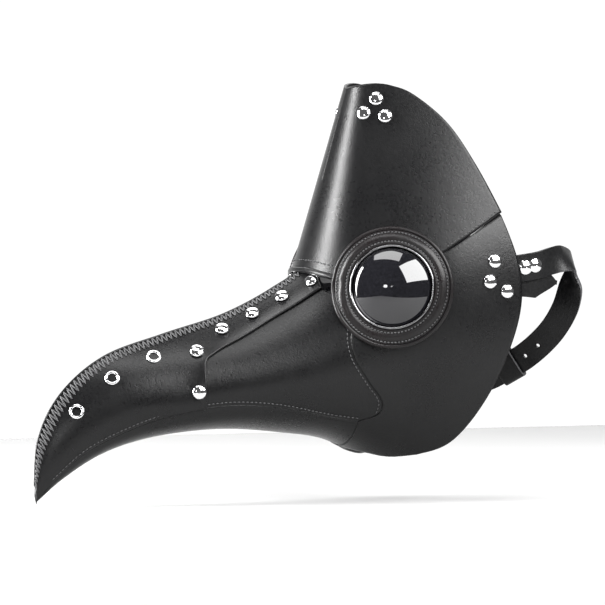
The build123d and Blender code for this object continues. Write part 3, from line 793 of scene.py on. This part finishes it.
BACK_STRAP = np.array([
    (68.6, 57, 11, 0, 0, 1), (68.6, 76, 11, 0, 0, 1), (69.9, 90, 12.5, 0, 0, 1), (69.9, 100, 14, 0, 0, 1),
    (67, 111, 16.5, -0.05, 0, 1), (63, 122, 18, -0.5, 0.2, 0.8), (57, 131, 16, -0.85, 0.38, 0.35),
    (50, 135.5, 8, -0.9, 0.1, 0), (44, 136.5, -3, -0.87, -0.49, 0), (37, 136, -16, -0.72, -0.7, 0),
    (28, 132.5, -29, -0.5, -0.75, 0.3), (17, 127.5, -40, -0.33, -0.7, 0.6), (4, 121, -50, -0.25, -0.5, 0.8),
    (-8, 115, -56.5, -0.25, -0.5, 0.8), (-20, 109, -63, -0.25, -0.5, 0.8),
    (-32, 103.5, -67, -0.1, -0.3, 0.95),
    (-44, 98, -71, -0.1, -0.3, 0.95), (-56, 92.5, -75, -0.1, -0.3, 0.95), (-68, 87, -79, -0.1, -0.3, 0.95),
])
TEMPLE_TAB = np.array([
    (66.6, 60, 5.3, 0, 0, 1), (66.6, 76, 5.3, 0, 0, 1), (67.6, 90, 5, 0, 0, 1), (67.6, 100, 4, 0, 0, 1),
    (64.5, 116, 2, 0, 0, 1),
])
STRAP_HOLES = [0.62, 0.66, 0.915, 0.94]
STRAP_LEATHER, STRAP_WIDTH, HOLE_RADIUS = 1.8, 18.0, 1.4
LOOP_ROWS = {"left": 13, "right": 16}
LOOP_LENGTH, LOOP_GAP, LOOP_TAB, TAB_SHIFT = 17.0, 0.4, 10.0, 2.2
TOP_STRAP_X, STRAP_STANDOFF = 24.0, 0.5
TOP_STRAP_LOW = {"left": (14.0, 88.0, -2.0), "right": (-26.0, 84.0, -8.0)}
SLOPE = np.radians(32.0)
ALONG = np.array([0, np.cos(SLOPE), -np.sin(SLOPE)])
ACROSS, OUT = np.array([(0, np.sin(SLOPE), np.cos(SLOPE)), (-1, 0, 0)])
BUCKLE_START, BAR_PLACE, BAR_DEPTH = np.array([-68.6, 57.0, 15.5]), 70.0, 2.3


def cut_leather(name, points, faces, node, body="root"):
    """Strap leather thickened both ways from its middle, its cut edges in a paler material that paints the
    highlight along them.
    """
    piece = build(name, points, faces, STRAP, body, [node])
    piece.data.materials.append(EDGE_HIGHLIGHT)
    thicken(STRAP_LEATHER, 0.0)(piece)
    piece.modifiers["wall"].material_offset_rim = 1
    soft = piece.modifiers.new("soft", "BEVEL")
    soft.width, soft.segments, soft.limit_method, soft.angle_limit = 0.00035, 2, "ANGLE", np.radians(50)


def ribbon(name, rows, node, width=STRAP_WIDTH, pointed=False, holes=(), count=360, columns=31):
    """Sheet across a curve: its middle from the rows, its width along their upper direction."""
    share = np.linspace(0, 1, count)
    row = smooth(rows, share)
    centre, upper = row[:, :3], row[:, 3:]
    along = unit(np.gradient(centre, axis=0))
    upper = unit(upper - along * np.sum(upper * along, axis=-1, keepdims=True))
    to_end = (1 - share) * (len(rows) - 1)
    half = width / 2 * (np.clip(to_end, 0.12, 1) if pointed else np.ones(count))
    across = np.linspace(-1, 1, columns)
    length = np.concatenate([[0], np.cumsum(np.linalg.norm(np.diff(centre, axis=0), axis=1))])
    s, t = np.meshgrid(length, across, indexing="ij")
    t = t * half[:, None]
    gone = np.zeros((count - 1) * (columns - 1), bool)
    faces = grid_faces(count, columns)
    for hole in np.interp(holes, share, length):
        away = np.hypot(s - hole, t)
        near = (away > 0.9) & (away < 1.9)
        grow = HOLE_RADIUS / np.maximum(away, 0.01)
        s, t = np.where(near, hole + (s - hole) * grow, s), np.where(near, t * grow, t)
        gone |= (np.hypot(s - hole, t).ravel()[faces] < 1.45).all(axis=1)
    spots = [np.interp(s, length, centre[:, k]) for k in range(3)]
    lifts = [np.interp(s, length, upper[:, k]) for k in range(3)]
    points = np.stack(spots, axis=-1) + np.stack(lifts, axis=-1) * t[..., None]
    cut_leather(name, points.reshape(-1, 3), faces[~gone], node)


def loop_frame(side):
    """Middle of a loop, up the strap's width and along the strap, where the back strap runs straight."""
    row = LOOP_ROWS[side]
    along = unit(BACK_STRAP[row + 1, :3] - BACK_STRAP[row - 1, :3])
    wide = BACK_STRAP[row, 3:] - along * np.dot(BACK_STRAP[row, 3:], along)
    return BACK_STRAP[row, :3], unit(wide), along


def top_strap_rows(side):
    """From behind a forehead rivet down inside the shell, across the gap and on to the tab of its loop."""
    sign = 1 if side == "left" else -1
    place = forehead_place(np.array(FOREHEAD_RIVETS[2], float))
    normal = outward(forehead_point, place)
    level = unit(np.cross((0.0, 0.0, 1.0), normal))
    along = unit(0.5 * level - np.cross(normal, level))
    inside = forehead_point(place) - normal * (LEATHER + STRAP_LEATHER / 2 + STRAP_STANDOFF)
    inside, along, normal = (vector * (sign, 1, 1) for vector in (inside, along, normal))
    origin, wide, run = loop_frame(side)
    lift = STRAP_WIDTH / 2 + LOOP_GAP + STRAP_LEATHER
    shift = np.cross(run, wide) * TAB_SHIFT
    middles = [inside - along * 18, inside, inside + along * 20, np.array((sign * TOP_STRAP_X, 52.0, 45.0))]
    middles += [np.array(TOP_STRAP_LOW[side]) - shift]
    middles += [origin + wide * (lift + far) - shift for far in (LOOP_TAB + 14, 5, 1)]
    uppers = [np.cross(along, normal)] * 3 + [np.array((0.2 * sign, 0.9, 0.4))] + [-run] * 4
    return np.concatenate([middles, uppers], axis=1)


def sleeve(origin, wide, along, length, tab=False):
    """Flat tube round a strap, as a rounded rectangle carried along; a tab may stand on one edge."""
    origin, wide, along = np.array(origin), unit(np.array(wide)), unit(np.array(along))
    thick = np.cross(along, wide)
    turn = np.linspace(0, 2 * np.pi, 64, endpoint=False)
    x = 9.1 * np.sign(np.cos(turn)) * np.abs(np.cos(turn)) ** 0.25 + 1.2 * np.cos(turn)
    y = 1.0 * np.sign(np.sin(turn)) * np.abs(np.sin(turn)) ** 0.25 + 1.2 * np.sin(turn)
    steps = np.linspace(-length / 2, length / 2, 12)
    ring = x[:, None] * wide + y[:, None] * thick
    points = origin + ring[None] + steps[:, None, None] * along
    points, faces = points.reshape(-1, 3), grid_faces(12, 64, wrap=True)
    if tab:
        u, v = np.meshgrid(np.linspace(10.3, 21.2, 10), steps, indexing="ij")
        flap = origin + u[..., None] * wide + TAB_SHIFT * thick + v[..., None] * along
        faces = np.concatenate([faces, grid_faces(10, 12) + len(points)])
        points = np.concatenate([points, flap.reshape(-1, 3)])
    return points, faces


def buckle_strap():
    """Straight run, half circle round the bar and the end folded back, with a slot for the prong."""
    turn = np.linspace(0, np.pi, 17)[1:-1]
    run = np.concatenate([np.linspace(-5, 63.5, 40), np.linspace(63.5, 70, 6)[1:]])
    back = np.concatenate([np.linspace(70, 63.5, 6), np.linspace(63.5, 54, 8)[1:]])
    s = np.concatenate([run, BAR_PLACE + BAR_DEPTH * np.sin(turn), back])
    n = np.concatenate([0 * run, -BAR_DEPTH + BAR_DEPTH * np.cos(turn), 0 * back - 2 * BAR_DEPTH])
    t = np.concatenate([np.linspace(-9, -3.2, 9), np.linspace(-3.2, 3.2, 9)[1:-1], np.linspace(3.2, 9, 9)])
    points = BUCKLE_START + s[:, None, None] * ALONG + n[:, None, None] * OUT + t[None, :, None] * ACROSS
    faces = grid_faces(len(s), len(t))
    s, t = np.meshgrid(s, t, indexing="ij")
    slot = (np.abs(t.ravel()[faces].mean(axis=1)) < 3.2) & (s.ravel()[faces].mean(axis=1) > 63.5)
    cut_leather("buckle_strap_leather", points.reshape(-1, 3), faces[~slot], "buckle_strap")


def straps():
    ribbon("back_strap_leather", BACK_STRAP, "back_strap", pointed=True, holes=STRAP_HOLES, count=520)
    ribbon("temple_tab_leather", TEMPLE_TAB, "left_temple_tab", width=24.0, pointed=True, count=90)
    for side in LOOP_ROWS:
        ribbon(f"{side}_top_strap_leather", top_strap_rows(side), f"{side}_top_strap")
    for side in LOOP_ROWS:
        loop = sleeve(*loop_frame(side), LOOP_LENGTH, True)
        cut_leather(f"{side}_loop_leather", *loop, f"{side}_top_strap_loop")
    keeper = sleeve(BUCKLE_START + 45.5 * ALONG, ACROSS, ALONG, 8.0)
    cut_leather("keeper_leather", *keeper, "buckle_keeper", "buckle_keeper")
    buckle_strap()


def plate_fittings():
    """Metal and hidden pieces that keep their solid shape."""
    kinds = {"buckle": NICKEL, "rivet": NICKEL, "retainer": RIM_METAL}
    for piece in list(bpy.data.objects):
        for kind, material in kinds.items():
            if piece.type == "MESH" and kind in piece.name and "leather" not in piece.name:
                piece.data.materials.clear()
                piece.data.materials.append(material)


# ---- Camera, light and floor ----

def aim(thing, target):
    from mathutils import Vector
    thing.rotation_euler = (Vector(target) - thing.location).to_track_quat("-Z", "Y").to_euler()


def softbox(name, turn, rise, away, width, height, watts):
    """Area light at an azimuth and elevation about the mask, facing it."""
    light = bpy.data.lights.new(name, "AREA")
    light.shape, light.size, light.size_y, light.energy = "RECTANGLE", width, height, watts
    lamp = bpy.data.objects.new(name, light)
    bpy.context.scene.collection.objects.link(lamp)
    a, e = np.radians([turn, rise])
    lamp.location = (away * np.sin(a) * np.cos(e), -away * np.cos(a) * np.cos(e) - 0.05, away * np.sin(e))
    aim(lamp, (0, -0.05, 0))


def studio():
    view_turn, view_rise, distance = np.radians(66.0), np.radians(2.0), 5.0
    level = np.array([np.cos(view_turn), np.sin(view_turn), 0.0])
    target = level * -0.0366 + (0, 0, -0.0117)
    flat = np.array([np.sin(view_turn), -np.cos(view_turn), 0.0]) * np.cos(view_rise)
    away = flat + (0.0, 0.0, np.sin(view_rise))
    lens = bpy.data.cameras.new("camera")
    lens.sensor_width = 36.0
    lens.lens = 36.0 * distance / 0.4033
    camera = bpy.data.objects.new("camera", lens)
    bpy.context.scene.collection.objects.link(camera)
    camera.location = target + away * distance
    aim(camera, target)
    bpy.context.scene.camera = camera

    low = cad_bounds[0][2] - 0.004
    size = 0.8
    floor = np.array([(-size, -size, 0), (size, -size, 0), (size, size, 0), (-size, size, 0)], float)
    mesh = bpy.data.meshes.new("floor")
    mesh.from_pydata((floor + (0, 0, low)).tolist(), [], [(0, 1, 2, 3)])
    ground = Shader("pale_floor")
    ground.set(Base_Color=ground.tint(ground.noise(3.0), (0.4, 0.4, 0.4), (0.43, 0.43, 0.43)), Roughness=0.8)
    mesh.materials.append(ground.material)
    piece = bpy.data.objects.new("floor", mesh)
    bpy.context.scene.collection.objects.link(piece)

    world = bpy.data.worlds.new("studio")
    bpy.context.scene.world = world
    world.use_nodes = True
    nodes, links = world.node_tree.nodes, world.node_tree.links
    kinds = ("TexCoord", "VectorMath", "MapRange")
    place, toward, spread = (nodes.new(f"ShaderNode{kind}") for kind in kinds)
    toward.operation, toward.inputs[1].default_value = "DOT_PRODUCT", tuple(-away)
    spread.interpolation_type = "SMOOTHSTEP"
    for socket, value in {"From Min": 0.5, "From Max": 0.92, "To Min": 0.12, "To Max": 1.05}.items():
        spread.inputs[socket].default_value = value
    links.new(place.outputs["Generated"], toward.inputs[0])
    links.new(toward.outputs["Value"], spread.inputs["Value"])
    links.new(spread.outputs["Result"], nodes["Background"].inputs["Strength"])
    nodes["Background"].inputs["Color"].default_value = (1, 1, 1, 1)
    softbox("front_strip", -12, 8, 1.1, 0.36, 1.3, 66)
    softbox("rear_side", 118, 34, 1.3, 1.2, 0.8, 44)
    softbox("top", 50, 70, 1.2, 0.9, 0.4, 8)
    softbox("behind", 246, 55, 1.3, 1.4, 1.0, 17)
    softbox("left_window", 54, 10, 1.4, 0.14, 0.1, 1.5)
    softbox("low_window", 50, -12, 1.4, 0.11, 0.05, 0.7)
    bpy.context.scene.view_settings.view_transform = "Standard"


beak_tip()
beak_front()
beak_side()
cheek()
forehead()
eyes()
seams()
fasteners()
plate_fittings()
straps()
studio()
